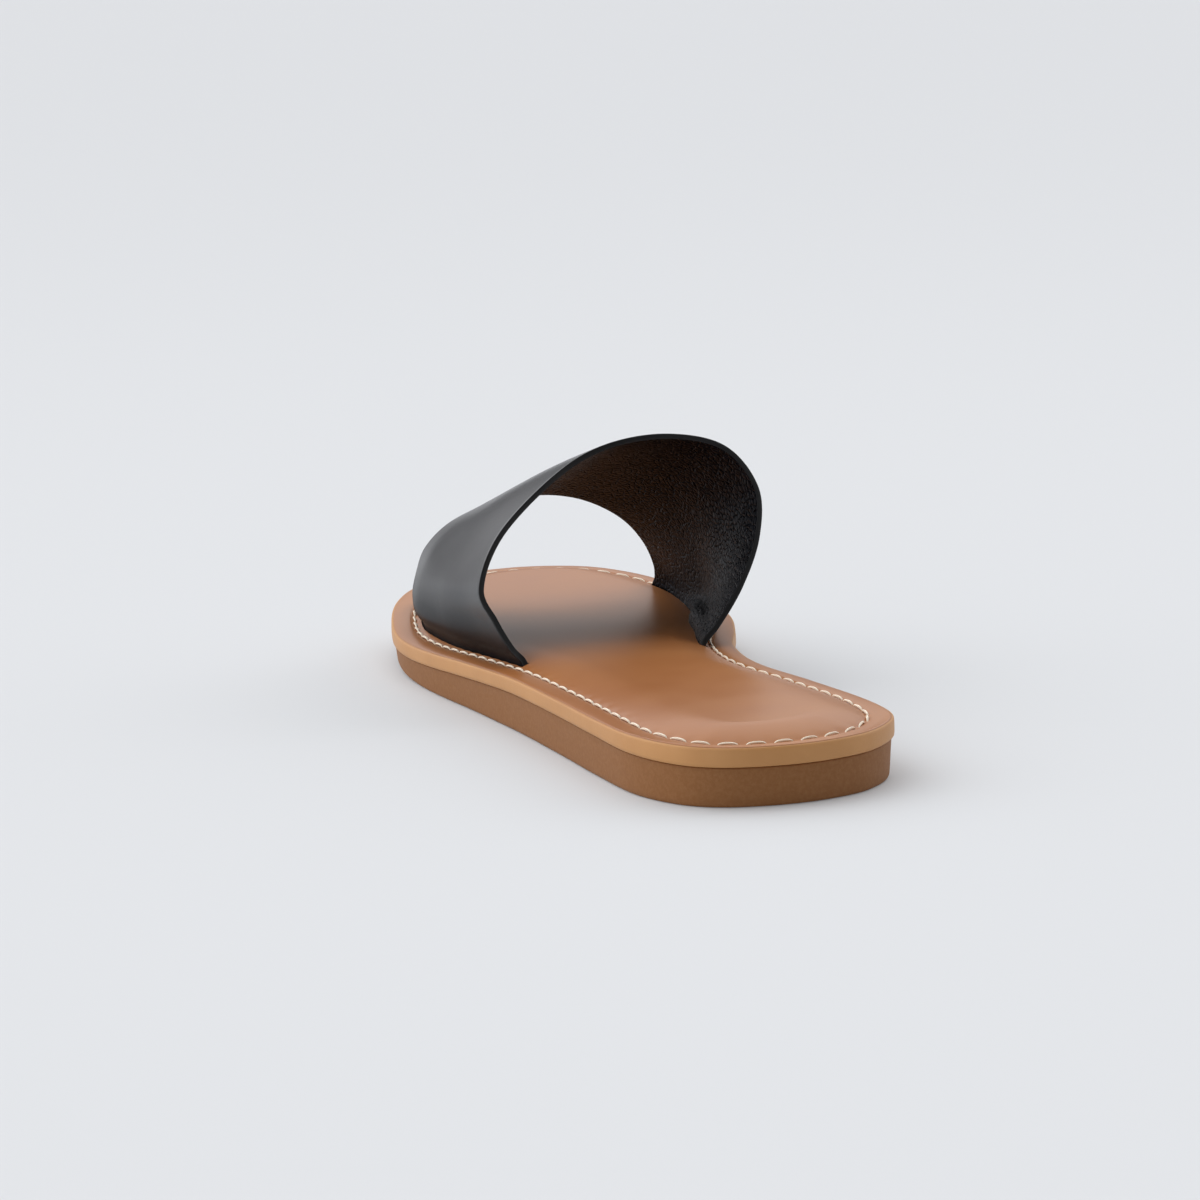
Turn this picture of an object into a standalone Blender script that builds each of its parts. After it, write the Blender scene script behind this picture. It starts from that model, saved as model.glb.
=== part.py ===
"""Slide sandal for the left foot: outsole, midsole, padded insole and one wide strap.

Metres, floor at z = 0. The toe points along +Y and the inner side of the foot
lies along +X. The origin is on the floor under the middle of the bounding box.
"""

from math import pi, sin
from typing import NamedTuple

import bmesh
import bpy
import numpy as np

MM = 0.001

# Driving sizes of the sole
SOLE_LENGTH = 261 * MM
BALL_WIDTH = 91 * MM
HEEL_THICKNESS = 10 * MM
TOE_SPRING = 6.8 * MM
MIDSOLE_STEP = 3.7 * MM
PAD_CROWN = 3.6 * MM
LAYER_GAP = 0.3 * MM

# Where the stitched channel and the strap's slots run, in from the sole's outline
STITCH_INSET = 6.1 * MM

# Driving sizes of the strap
STRAP_CROWN = 65 * MM
STRAP_WALL = 1.4 * MM
STRAP_EDGE_ROUND = 0.4 * MM
STRAP_BULGE = 1.2 * MM
SLOT_CLEARANCE = 0.3 * MM
SLOT_REACH = 9 * MM
SLOT_DEPTH = 4 * MM

# Fineness of the faces
SIDE_STEPS = 46
CAP_COLUMNS = 4
PAD_COLUMNS = 6
STRAP_AROUND = 52
STRAP_ALONG = 9
SLOT_AROUND = 8
CURVE_STEPS = 24
FOOT_DENSITY = 0.55


class OutlineRow(NamedTuple):
    """Half widths of the sole, as shares of the ball width, at a share of its length."""

    along: float
    outer: float
    inner: float


OUTLINE = (
    OutlineRow(0.008, 0.159, 0.122),
    OutlineRow(0.035, 0.256, 0.262),
    OutlineRow(0.090, 0.326, 0.363),
    OutlineRow(0.170, 0.353, 0.375),
    OutlineRow(0.280, 0.374, 0.329),
    OutlineRow(0.400, 0.401, 0.277),
    OutlineRow(0.520, 0.441, 0.319),
    OutlineRow(0.630, 0.484, 0.415),
    OutlineRow(0.730, 0.499, 0.486),
    OutlineRow(0.820, 0.461, 0.491),
    OutlineRow(0.890, 0.399, 0.441),
    OutlineRow(0.945, 0.304, 0.362),
    OutlineRow(0.985, 0.157, 0.242),
)
HEEL_TIP_ACROSS = -0.020
TOE_TIP_ACROSS = 0.050


class ProfileRow(NamedTuple):
    """Rise off the floor and outsole thickness, as shares of toe spring and heel thickness."""

    along: float
    rise: float
    thickness: float


PROFILE = (
    ProfileRow(0.00, 0.00, 0.92),
    ProfileRow(0.19, 0.00, 1.00),
    ProfileRow(0.38, 0.00, 0.97),
    ProfileRow(0.54, 0.00, 0.81),
    ProfileRow(0.64, 0.00, 0.685),
    ProfileRow(0.77, 0.20, 0.535),
    ProfileRow(0.88, 0.60, 0.485),
    ProfileRow(1.00, 1.00, 0.48),
)


class RingRow(NamedTuple):
    """One ring of a sole layer.

    The inset from the outline is a share of the stitch inset, and the level a
    share of the layer's own thickness.
    """

    inset: float
    level: float


OUTSOLE_RINGS = (
    RingRow(0.492, 0.00),
    RingRow(0.295, 0.05),
    RingRow(0.213, 0.18),
    RingRow(0.115, 0.94),
    RingRow(0.164, 1.00),
)
MIDSOLE_RINGS = (
    RingRow(0.115, 0.00),
    RingRow(0.033, 0.12),
    RingRow(0.000, 0.50),
    RingRow(0.033, 0.88),
    RingRow(0.115, 1.00),
)

# Edge, flange, stitched channel and pad, whose thickness is the pad's crown
INSOLE_RINGS = (
    RingRow(0.180, 0.00),
    RingRow(0.098, 0.05),
    RingRow(0.115, 0.13),
    RingRow(0.213, 0.18),
    RingRow(0.803, 0.17),
    RingRow(1.000, 0.10),
    RingRow(1.197, 0.30),
    RingRow(1.525, 0.62),
    RingRow(2.049, 0.83),
    RingRow(2.705, 0.95),
)


class StrapRow(NamedTuple):
    """One rib of the strap, from the outer foot over the instep to the inner foot.

    Across is a share of the ball width from the middle line, height a share of
    the way from the midsole's top up to the strap's crown.
    """

    rear_across: float
    rear_height: float
    front_across: float
    front_height: float


STRAP = (
    StrapRow(-0.330, 0.003, -0.327, 0.003),
    StrapRow(-0.335, 0.037, -0.332, 0.037),
    StrapRow(-0.360, 0.088, -0.363, 0.084),
    StrapRow(-0.394, 0.210, -0.366, 0.185),
    StrapRow(-0.421, 0.365, -0.350, 0.330),
    StrapRow(-0.343, 0.600, -0.283, 0.468),
    StrapRow(-0.163, 0.846, -0.162, 0.565),
    StrapRow(-0.009, 0.967, -0.052, 0.607),
    StrapRow(0.170, 1.000, 0.058, 0.586),
    StrapRow(0.332, 0.931, 0.157, 0.520),
    StrapRow(0.417, 0.731, 0.245, 0.422),
    StrapRow(0.404, 0.500, 0.316, 0.293),
    StrapRow(0.341, 0.279, 0.359, 0.167),
    StrapRow(0.264, 0.106, 0.374, 0.085),
    StrapRow(0.223, 0.037, 0.373, 0.037),
    StrapRow(0.218, 0.003, 0.369, 0.003),
)

# Shares of the sole's length where the strap's two edges stand and peak
REAR_OUTER_FOOT = 0.450
REAR_INNER_FOOT = 0.497
REAR_CROWN = 0.562
FRONT_OUTER_FOOT = 0.875
FRONT_INNER_FOOT = 0.871
FRONT_CROWN = 0.781


class Finish(NamedTuple):
    """Base colour as an sRGB hex number, with roughness and metallic."""

    colour: int
    roughness: float
    metallic: float


FINISHES = {
    "outsole_rubber": Finish(0x7B5639, 0.62, 0.0),
    "midsole_edge": Finish(0xC0946A, 0.50, 0.0),
    "insole_leather": Finish(0xA4703F, 0.38, 0.0),
    "strap_leather": Finish(0x17171A, 0.36, 0.0),
}


def clear_scene():
    """Remove every object that the scene starts with."""
    for thing in list(bpy.data.objects):
        bpy.data.objects.remove(thing, do_unlink=True)


def new_collection(name):
    """Add a collection to the scene."""
    group = bpy.data.collections.new(name)
    bpy.context.scene.collection.children.link(group)
    return group


def linear(channel):
    """Turn one sRGB channel of 0 to 1 into a linear value."""
    if channel <= 0.04045:
        return channel / 12.92
    return ((channel + 0.055) / 1.055) ** 2.4


def new_material(name):
    """Make the Principled material that FINISHES lists under a name."""
    finish = FINISHES[name]
    channels = (finish.colour >> 16 & 255, finish.colour >> 8 & 255, finish.colour & 255)
    material = bpy.data.materials.new(name)
    material.use_nodes = True
    shader = material.node_tree.nodes["Principled BSDF"]
    shader.inputs["Base Color"].default_value = (*(linear(c / 255) for c in channels), 1.0)
    shader.inputs["Roughness"].default_value = finish.roughness
    shader.inputs["Metallic"].default_value = finish.metallic
    return material


def smooth_curve(points, closed=False):
    """Pass a Catmull-Rom curve through points and return it as a fine polyline."""
    points = np.asarray(points, dtype=float)
    if closed:
        ring = np.vstack([points[-1], points, points[:2]])
    else:
        ring = np.vstack([2 * points[0] - points[1], points, 2 * points[-1] - points[-2]])
    share = np.arange(CURVE_STEPS) / CURVE_STEPS
    pieces = []
    for a, b, c, d in zip(ring, ring[1:], ring[2:], ring[3:]):
        t = share[:, None]
        linear_term = (c - a) * t
        square_term = (2 * a - 5 * b + 4 * c - d) * t**2
        cubic_term = (3 * b - a - 3 * c + d) * t**3
        pieces.append(b + 0.5 * (linear_term + square_term + cubic_term))
    if not closed:
        pieces.append(points[-1:])
    return np.vstack(pieces)


def resample(polyline, shares):
    """Return the points of a polyline at shares of its length."""
    steps = np.linalg.norm(np.diff(polyline, axis=0), axis=1)
    walked = np.concatenate([[0.0], np.cumsum(steps)])
    wanted = np.asarray(shares) * walked[-1]
    columns = [np.interp(wanted, walked, column) for column in polyline.T]
    return np.stack(columns, axis=-1)


def eased(rows, column, along):
    """Read a profile column at a share of the length, smooth and without overshoot."""
    stations = np.array([row.along for row in rows])
    values = np.array([getattr(row, column) for row in rows])
    slopes = np.diff(values) / np.diff(stations)
    tangents = np.zeros(len(values))
    before = slopes[:-1]
    after = slopes[1:]
    same_way = before * after > 0
    tangents[1:-1][same_way] = 2 * (before * after)[same_way] / (before + after)[same_way]
    tangents[0] = slopes[0]
    tangents[-1] = slopes[-1]
    along = np.clip(along, stations[0], stations[-1])
    k = np.clip(np.searchsorted(stations, along, side="right") - 1, 0, len(slopes) - 1)
    width = stations[k + 1] - stations[k]
    t = (along - stations[k]) / width
    start = (1 + 2 * t) * (1 - t) ** 2 * values[k] + t * (1 - t) ** 2 * width * tangents[k]
    end = t**2 * (3 - 2 * t) * values[k + 1] + t**2 * (t - 1) * width * tangents[k + 1]
    return start + end


def length_share(y):
    """Turn a position along Y into a share of the sole's length from the heel."""
    return y / SOLE_LENGTH + 0.5


def underside(y):
    """Height of the outsole's underside: flat on the floor, rising under the toes."""
    return TOE_SPRING * eased(PROFILE, "rise", length_share(y))


def outsole_thickness(y):
    """Thickness of the outsole, thick at the heel and thin from the ball on."""
    return HEEL_THICKNESS * eased(PROFILE, "thickness", length_share(y))


def bed(y):
    """Height of the plane that the insole lies on."""
    return underside(y) + outsole_thickness(y) + MIDSOLE_STEP


def sole_outline():
    """Return the outline as points in pairs, outer side then inner side, and normals.

    The ring starts at the heel tip, runs up the outer side to the toe tip and
    comes back along the inner side, with as many steps on each side.
    """
    heel_tip = (HEEL_TIP_ACROSS * BALL_WIDTH, -0.5 * SOLE_LENGTH)
    toe_tip = (TOE_TIP_ACROSS * BALL_WIDTH, 0.5 * SOLE_LENGTH)
    outer = [(-row.outer * BALL_WIDTH, (row.along - 0.5) * SOLE_LENGTH) for row in OUTLINE]
    inner = [(row.inner * BALL_WIDTH, (row.along - 0.5) * SOLE_LENGTH) for row in OUTLINE]
    curve = smooth_curve([heel_tip, *outer, toe_tip, *reversed(inner)], closed=True)
    toe_at = (len(outer) + 1) * CURVE_STEPS
    shares = np.arange(SIDE_STEPS + 1) / SIDE_STEPS
    up = resample(curve[: toe_at + 1], shares)
    back = resample(np.vstack([curve[toe_at:], curve[:1]]), shares)
    ring = np.vstack([up[:-1], back[:-1]])
    tangent = np.roll(ring, -1, axis=0) - np.roll(ring, 1, axis=0)
    tangent /= np.linalg.norm(tangent, axis=1)[:, None]
    inward = np.stack([tangent[:, 1], -tangent[:, 0]], axis=1)
    return ring, inward


def add_cap(mesh, ring, height, columns, upward):
    """Close a ring with strips that run from its outer side to its inner side."""
    count = len(ring)
    rows = []
    for step in range(1, SIDE_STEPS):
        left = ring[step]
        right = ring[count - step]
        row = [left]
        for column in range(1, columns):
            place = left.co.lerp(right.co, column / columns)
            row.append(mesh.verts.new((place.x, place.y, height(place.y))))
        row.append(right)
        rows.append(row)
    faces = []
    for lower, higher in zip(rows, rows[1:]):
        for column in range(columns):
            corners = (lower[column], lower[column + 1], higher[column + 1], higher[column])
            faces.append(corners)
    for column in range(columns):
        faces.append((ring[0], rows[0][column + 1], rows[0][column]))
        faces.append((rows[-1][column], rows[-1][column + 1], ring[SIDE_STEPS]))
    for corners in faces:
        mesh.faces.new(corners if upward else tuple(reversed(corners)))


def add_layer(name, rings, bottom, thickness, top_columns, group):
    """Build one closed layer of the sole from rings between a lower and an upper cap."""
    outline, inward = sole_outline()
    mesh = bmesh.new()
    levels = []
    for row in rings:
        flat = outline + inward * row.inset * STITCH_INSET
        heights = [bottom(y) + row.level * thickness(y) for y in flat[:, 1]]
        levels.append([mesh.verts.new((x, y, z)) for (x, y), z in zip(flat, heights)])
    for lower, higher in zip(levels, levels[1:]):
        for k in range(len(lower)):
            after = (k + 1) % len(lower)
            mesh.faces.new((lower[after], lower[k], higher[k], higher[after]))
    add_cap(mesh, levels[0], bottom, CAP_COLUMNS, upward=False)
    add_cap(mesh, levels[-1], lambda y: bottom(y) + thickness(y), top_columns, upward=True)
    return add_object(name, mesh, group)


def add_object(name, mesh, group):
    """Turn a bmesh into an object of a collection, faces outward."""
    data = bpy.data.meshes.new(name)
    bmesh.ops.recalc_face_normals(mesh, faces=mesh.faces)
    mesh.to_mesh(data)
    mesh.free()
    thing = bpy.data.objects.new(name, data)
    group.objects.link(thing)
    return thing


def strap_edge(front):
    """Return one edge of the strap as a fine polyline, from foot to foot."""
    if front:
        outer_foot, inner_foot, crown = FRONT_OUTER_FOOT, FRONT_INNER_FOOT, FRONT_CROWN
        ribs = [(row.front_across, row.front_height) for row in STRAP]
    else:
        outer_foot, inner_foot, crown = REAR_OUTER_FOOT, REAR_INNER_FOOT, REAR_CROWN
        ribs = [(row.rear_across, row.rear_height) for row in STRAP]
    peak = max(height for _, height in ribs)
    points = []
    for across, height in ribs:
        foot = outer_foot if across < 0 else inner_foot
        along = foot + (crown - foot) * height / peak
        start = bed((foot - 0.5) * SOLE_LENGTH)
        lift = start + height * (STRAP_CROWN - start)
        points.append((across * BALL_WIDTH, (along - 0.5) * SOLE_LENGTH, lift))
    return smooth_curve(points)


def half_width(y, side):
    """Half width of the sole at a position along Y, on its outer or inner side."""
    return BALL_WIDTH * eased(OUTLINE, side, length_share(y))


def follow_sole(rear, front, station, crown):
    """Return a rib between the strap's edges, low down bowed out and down as the sole is."""
    row = rear + (front - rear) * station
    y = row[:, 1]
    height = (row[:, 2] - bed(y)) / (crown - bed(y))
    low = np.cos(0.5 * pi * np.clip(height, 0.0, 1.0)) ** 2

    def bow(shape):
        return shape(y) - (1 - station) * shape(rear[:, 1]) - station * shape(front[:, 1])

    outer_bow = bow(lambda at: half_width(at, "outer"))
    inner_bow = bow(lambda at: half_width(at, "inner"))
    row[:, 0] += low * np.where(row[:, 0] < 0, -outer_bow, inner_bow)
    row[:, 2] += low * bow(bed)
    return row


def strap_grid(shares, stations):
    """Return the strap's outer face as rows of points between its two edges.

    Shares run from foot to foot and stations from the rear edge to the front
    one. Both may run past their ends, where the face goes on straight.
    """
    rear = strap_edge(front=False)
    front = strap_edge(front=True)
    inside = np.clip(shares, 0.0, 1.0)
    rear_points = resample(rear, inside)
    front_points = resample(front, inside)
    rows = []
    for station in stations:
        crown = (1 - station) * rear[:, 2].max() + station * front[:, 2].max()
        row = follow_sole(rear_points, front_points, station, crown)
        swell = STRAP_BULGE * max(0.0, sin(pi * min(max(station, 0.0), 1.0)))
        tangent = np.gradient(row, axis=0)
        outward = np.stack([-tangent[:, 2], np.zeros(len(row)), tangent[:, 0]], axis=1)
        outward /= np.maximum(np.linalg.norm(outward, axis=1), 1e-9)[:, None]
        row = row + outward * (swell * np.sin(pi * inside))[:, None]
        rows.append(row)
    return np.array(rows)


def add_sheet(name, rows, wall, offset, group):
    """Build a sheet from rows of points and give it a wall with Solidify."""
    mesh = bmesh.new()
    grid = [[mesh.verts.new(point) for point in row] for row in rows]
    for lower, higher in zip(grid, grid[1:]):
        for k in range(len(lower) - 1):
            mesh.faces.new((lower[k], lower[k + 1], higher[k + 1], higher[k]))
    data = bpy.data.meshes.new(name)
    mesh.to_mesh(data)
    mesh.free()
    thing = bpy.data.objects.new(name, data)
    group.objects.link(thing)
    wall_modifier = thing.modifiers.new("wall", "SOLIDIFY")
    wall_modifier.thickness = wall
    wall_modifier.offset = offset
    wall_modifier.use_even_offset = True
    return thing


def add_strap(group):
    """Build the wide strap, one bent wall with rounded edges."""
    even = np.linspace(0.0, 1.0, STRAP_AROUND + 1)
    shares = even - FOOT_DENSITY * np.sin(2 * pi * even) / (2 * pi)
    stations = np.linspace(0.0, 1.0, STRAP_ALONG + 1)
    strap = add_sheet("strap", strap_grid(shares, stations), STRAP_WALL, -1.0, group)
    edge = strap.modifiers.new("rounded_edge", "BEVEL")
    edge.width = STRAP_EDGE_ROUND
    edge.segments = 2
    edge.limit_method = "ANGLE"
    edge.angle_limit = pi / 3
    return strap


def add_slot_cutter(name, from_inner_side, group):
    """Build the sheet that cuts a clear slot for one foot of the strap."""
    rear = strap_edge(front=False)
    girth = np.linalg.norm(np.diff(rear, axis=0), axis=1).sum()
    reach = np.linspace(0.0, SLOT_REACH / girth, SLOT_AROUND)
    shares = 1.0 - reach if from_inner_side else reach
    past_end = SLOT_CLEARANCE / ((FRONT_INNER_FOOT - REAR_INNER_FOOT) * SOLE_LENGTH)
    stations = np.linspace(-past_end, 1.0 + past_end, STRAP_ALONG + 1)
    rows = strap_grid(shares, stations)
    below = rows[:, :1] - np.array([0.0, 0.0, SLOT_DEPTH])
    rows = np.concatenate([below, rows], axis=1)
    if from_inner_side:
        rows = rows[:, ::-1]
    wall = STRAP_WALL + 2 * SLOT_CLEARANCE
    return add_sheet(name, rows, wall, 2 * SLOT_CLEARANCE / wall - 1.0, group)


def cut(thing, cutter):
    """Cut a hidden solid out of an object."""
    cutter.hide_render = True
    cutter.display_type = "WIRE"
    step = thing.modifiers.new(cutter.name, "BOOLEAN")
    step.operation = "DIFFERENCE"
    step.solver = "EXACT"
    step.object = cutter


def build():
    """Build the sandal."""
    clear_scene()
    group = new_collection("slide_sandal")
    cutters = new_collection("slide_sandal_cutters")

    outsole = add_layer(
        "outsole", OUTSOLE_RINGS, underside, outsole_thickness, CAP_COLUMNS, group
    )
    midsole = add_layer(
        "midsole",
        MIDSOLE_RINGS,
        lambda y: bed(y) - MIDSOLE_STEP + LAYER_GAP,
        lambda y: MIDSOLE_STEP - 2 * LAYER_GAP,
        CAP_COLUMNS,
        group,
    )
    insole = add_layer("insole", INSOLE_RINGS, bed, lambda y: PAD_CROWN, PAD_COLUMNS, group)
    strap = add_strap(group)
    cut(insole, add_slot_cutter("outer_slot", False, cutters))
    cut(insole, add_slot_cutter("inner_slot", True, cutters))

    outsole.data.materials.append(new_material("outsole_rubber"))
    midsole.data.materials.append(new_material("midsole_edge"))
    insole.data.materials.append(new_material("insole_leather"))
    strap.data.materials.append(new_material("strap_leather"))


build()
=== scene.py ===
"""Dress a left slide sandal: moulded outsole, wrapped midsole, stitched insole and wide strap."""

import logging
import math
from dataclasses import dataclass, field
from enum import Enum
from typing import Callable, NamedTuple

import bmesh
import bpy
import numpy as np
from mathutils import Matrix, Vector


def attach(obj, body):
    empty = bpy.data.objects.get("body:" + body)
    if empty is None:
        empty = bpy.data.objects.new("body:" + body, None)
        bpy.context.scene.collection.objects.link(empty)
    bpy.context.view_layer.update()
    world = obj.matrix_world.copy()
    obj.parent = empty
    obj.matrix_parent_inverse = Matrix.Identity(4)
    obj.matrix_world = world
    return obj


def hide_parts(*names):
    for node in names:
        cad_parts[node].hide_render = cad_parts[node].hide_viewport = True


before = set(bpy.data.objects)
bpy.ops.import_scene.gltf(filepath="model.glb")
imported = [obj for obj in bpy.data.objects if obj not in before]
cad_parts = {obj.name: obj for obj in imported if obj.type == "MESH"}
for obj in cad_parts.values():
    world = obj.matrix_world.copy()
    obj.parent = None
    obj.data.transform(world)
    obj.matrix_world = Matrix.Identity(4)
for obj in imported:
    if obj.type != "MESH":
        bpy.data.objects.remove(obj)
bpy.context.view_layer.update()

logging.basicConfig(level=logging.INFO, format="%(message)s")
LOG = logging.getLogger("sandal")

MM = 0.001
BODY = "root"
# Points nearer than this, in metres, are one point.
WELD_DISTANCE = 0.001 * MM
# In millimetres in from the outline, where a ring stops being all edge, and where it is none.
EDGE_ENDS = 1.0
BED_STARTS = 2.4


class Side(Enum):
    """The two long sides of the shoe, by the names of their outline columns."""

    OUTER = "outer"
    INNER = "inner"


class OutlineRow(NamedTuple):
    """Half widths of the sole, as shares of the ball width, at a share of its length."""

    along: float
    outer: float
    inner: float


class ProfileRow(NamedTuple):
    """Rise off the floor and outsole thickness, as shares of toe spring and heel thickness."""

    along: float
    rise: float
    thickness: float


class RingRow(NamedTuple):
    """One ring of a layer: inset from the outline and height above its base, in millimetres."""

    inset: float
    height: float


class StrapRow(NamedTuple):
    """One rib of the strap, from the outer foot over the instep to the inner foot.

    Across is a share of the ball width from the middle line, height a share of
    the way from the midsole's top up to the strap's crown.
    """

    rear_across: float
    rear_height: float
    front_across: float
    front_height: float


class Dent(NamedTuple):
    """A soft trough in the strap, or a ridge if its depth is negative.

    Its place and half sizes are shares of the strap, and its depth is in millimetres.
    """

    around: float
    along: float
    half_around: float
    half_along: float
    depth: float


OUTLINE = (
    OutlineRow(0.008, 0.159, 0.122),
    OutlineRow(0.035, 0.256, 0.262),
    OutlineRow(0.090, 0.326, 0.363),
    OutlineRow(0.170, 0.353, 0.375),
    OutlineRow(0.280, 0.374, 0.329),
    OutlineRow(0.400, 0.401, 0.277),
    OutlineRow(0.520, 0.441, 0.319),
    OutlineRow(0.630, 0.484, 0.415),
    OutlineRow(0.730, 0.499, 0.486),
    OutlineRow(0.820, 0.461, 0.491),
    OutlineRow(0.890, 0.399, 0.441),
    OutlineRow(0.945, 0.304, 0.362),
    OutlineRow(0.985, 0.157, 0.242),
)

PROFILE = (
    ProfileRow(0.00, 0.00, 0.92),
    ProfileRow(0.19, 0.00, 1.00),
    ProfileRow(0.38, 0.00, 0.97),
    ProfileRow(0.54, 0.00, 0.81),
    ProfileRow(0.64, 0.00, 0.685),
    ProfileRow(0.77, 0.20, 0.535),
    ProfileRow(0.88, 0.60, 0.485),
    ProfileRow(1.00, 1.00, 0.48),
)

STRAP = (
    StrapRow(-0.330, 0.003, -0.327, 0.003),
    StrapRow(-0.335, 0.037, -0.332, 0.037),
    StrapRow(-0.360, 0.088, -0.363, 0.084),
    StrapRow(-0.394, 0.210, -0.366, 0.185),
    StrapRow(-0.421, 0.365, -0.350, 0.330),
    StrapRow(-0.343, 0.600, -0.283, 0.468),
    StrapRow(-0.163, 0.846, -0.162, 0.565),
    StrapRow(-0.009, 0.967, -0.052, 0.607),
    StrapRow(0.170, 1.000, 0.058, 0.586),
    StrapRow(0.332, 0.931, 0.157, 0.520),
    StrapRow(0.417, 0.731, 0.245, 0.422),
    StrapRow(0.404, 0.500, 0.316, 0.293),
    StrapRow(0.341, 0.279, 0.359, 0.167),
    StrapRow(0.264, 0.106, 0.374, 0.085),
    StrapRow(0.223, 0.037, 0.373, 0.037),
    StrapRow(0.218, 0.003, 0.369, 0.003),
)


def linear_colour(hex_colour: int) -> tuple[float, float, float, float]:
    """Turn an sRGB hex colour into a linear one.

    Args:
        hex_colour: The colour as 0xRRGGBB.

    Returns:
        Red, green, blue and an alpha of 1.
    """
    channels = []
    for shift in (16, 8, 0):
        value = (hex_colour >> shift & 255) / 255
        channels.append(value / 12.92 if value <= 0.04045 else ((value + 0.055) / 1.055) ** 2.4)
    return (channels[0], channels[1], channels[2], 1.0)


def smooth_curve(points: np.ndarray, closed: bool, steps: int) -> np.ndarray:
    """Pass a Catmull-Rom curve through points.

    Args:
        points: The points, one a row.
        closed: Whether the curve comes back to its first point.
        steps: How many straight steps stand for each stretch between two points.

    Returns:
        The curve as a fine polyline.
    """
    points = np.asarray(points, dtype=float)
    if closed:
        ring = np.vstack([points[-1], points, points[:2]])
    else:
        ring = np.vstack([2 * points[0] - points[1], points, 2 * points[-1] - points[-2]])
    t = (np.arange(steps) / steps)[:, None]
    pieces = []
    for a, b, c, d in zip(ring, ring[1:], ring[2:], ring[3:]):
        square_term = (2 * a - 5 * b + 4 * c - d) * t**2
        cubic_term = (3 * b - a - 3 * c + d) * t**3
        pieces.append(b + 0.5 * ((c - a) * t + square_term + cubic_term))
    if not closed:
        pieces.append(points[-1:])
    return np.vstack(pieces)


def walked(polyline: np.ndarray) -> np.ndarray:
    """Measure the distance walked along a polyline at each of its points."""
    steps = np.linalg.norm(np.diff(polyline, axis=0), axis=1)
    return np.concatenate([[0.0], np.cumsum(steps)])


def resample(polyline: np.ndarray, shares: np.ndarray) -> np.ndarray:
    """Space points along a polyline.

    Args:
        polyline: The polyline's points, one a row.
        shares: Shares of its length.

    Returns:
        The points at those shares, one a row.
    """
    distance = walked(polyline)
    wanted = np.asarray(shares) * distance[-1]
    return np.stack([np.interp(wanted, distance, column) for column in polyline.T], axis=-1)


def eased(rows: tuple, column: str, along: np.ndarray) -> np.ndarray:
    """Read a table's column at shares of the length, smooth and without overshoot.

    Args:
        rows: The table, whose rows have an along column.
        column: The column to read.
        along: The shares of the sole's length.

    Returns:
        The column's values there.
    """
    stations = np.array([row.along for row in rows])
    values = np.array([getattr(row, column) for row in rows])
    slopes = np.diff(values) / np.diff(stations)
    before = slopes[:-1]
    after = slopes[1:]
    same_way = before * after > 0
    tangents = np.concatenate([[slopes[0]], np.zeros(len(before)), [slopes[-1]]])
    tangents[1:-1][same_way] = 2 * (before * after)[same_way] / (before + after)[same_way]
    along = np.clip(along, stations[0], stations[-1])
    k = np.clip(np.searchsorted(stations, along, side="right") - 1, 0, len(slopes) - 1)
    width = stations[k + 1] - stations[k]
    t = (along - stations[k]) / width
    start = (1 + 2 * t) * (1 - t) ** 2 * values[k] + t * (1 - t) ** 2 * width * tangents[k]
    end = t**2 * (3 - 2 * t) * values[k + 1] + t**2 * (t - 1) * width * tangents[k + 1]
    return start + end


def add_sheet(name: str, rows: np.ndarray, wraps: bool) -> bpy.types.Object:
    """Lay a grid primitive over rows of points, and close its seam and poles.

    Args:
        name: The new object's name.
        rows: Points as an array of rows, columns and coordinates.
        wraps: Whether each row comes back to its first point.

    Returns:
        The new object, with one UV map that runs along its rows and columns.
    """
    if wraps:
        rows = np.concatenate([rows, rows[:, :1]], axis=1)
    levels, count = rows.shape[:2]
    bpy.ops.object.select_all(action="DESELECT")
    bpy.ops.mesh.primitive_grid_add(
        x_subdivisions=count - 1, y_subdivisions=levels - 1, size=1.0, calc_uvs=True
    )
    sheet = bpy.context.object
    sheet.name = name
    sheet.data.name = name
    sheet.data.vertices.foreach_set("co", rows.reshape(-1))
    bpy.ops.object.mode_set(mode="EDIT")
    bpy.ops.mesh.select_all(action="SELECT")
    bpy.ops.mesh.remove_doubles(threshold=WELD_DISTANCE)
    if wraps:
        bpy.ops.mesh.normals_make_consistent(inside=False)
    bpy.ops.object.mode_set(mode="OBJECT")
    return sheet


def select_only(*pieces: bpy.types.Object) -> None:
    """Select pieces and nothing else, the first one active.

    Args:
        pieces: The pieces to select.
    """
    bpy.ops.object.select_all(action="DESELECT")
    for piece in pieces:
        piece.select_set(True)
    bpy.context.view_layer.objects.active = pieces[0]


def apply_modifiers(piece: bpy.types.Object) -> None:
    """Apply every modifier of a piece in order.

    Args:
        piece: The piece.
    """
    select_only(piece)
    for modifier in list(piece.modifiers):
        bpy.ops.object.modifier_apply(modifier=modifier.name)


def triangulate(piece: bpy.types.Object) -> None:
    """Split a cut piece's many-sided faces, so that no sliver is left along the cut.

    Args:
        piece: The piece that was cut.
    """
    mesh = bmesh.new()
    mesh.from_mesh(piece.data)
    bmesh.ops.triangulate(mesh, faces=mesh.faces)
    mesh.to_mesh(piece.data)
    mesh.free()


def shade(piece: bpy.types.Object, degrees: float) -> None:
    """Shade a piece smooth, apart from its sharp edges."""
    select_only(piece)
    bpy.ops.object.shade_smooth_by_angle(angle=math.radians(degrees))


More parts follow.
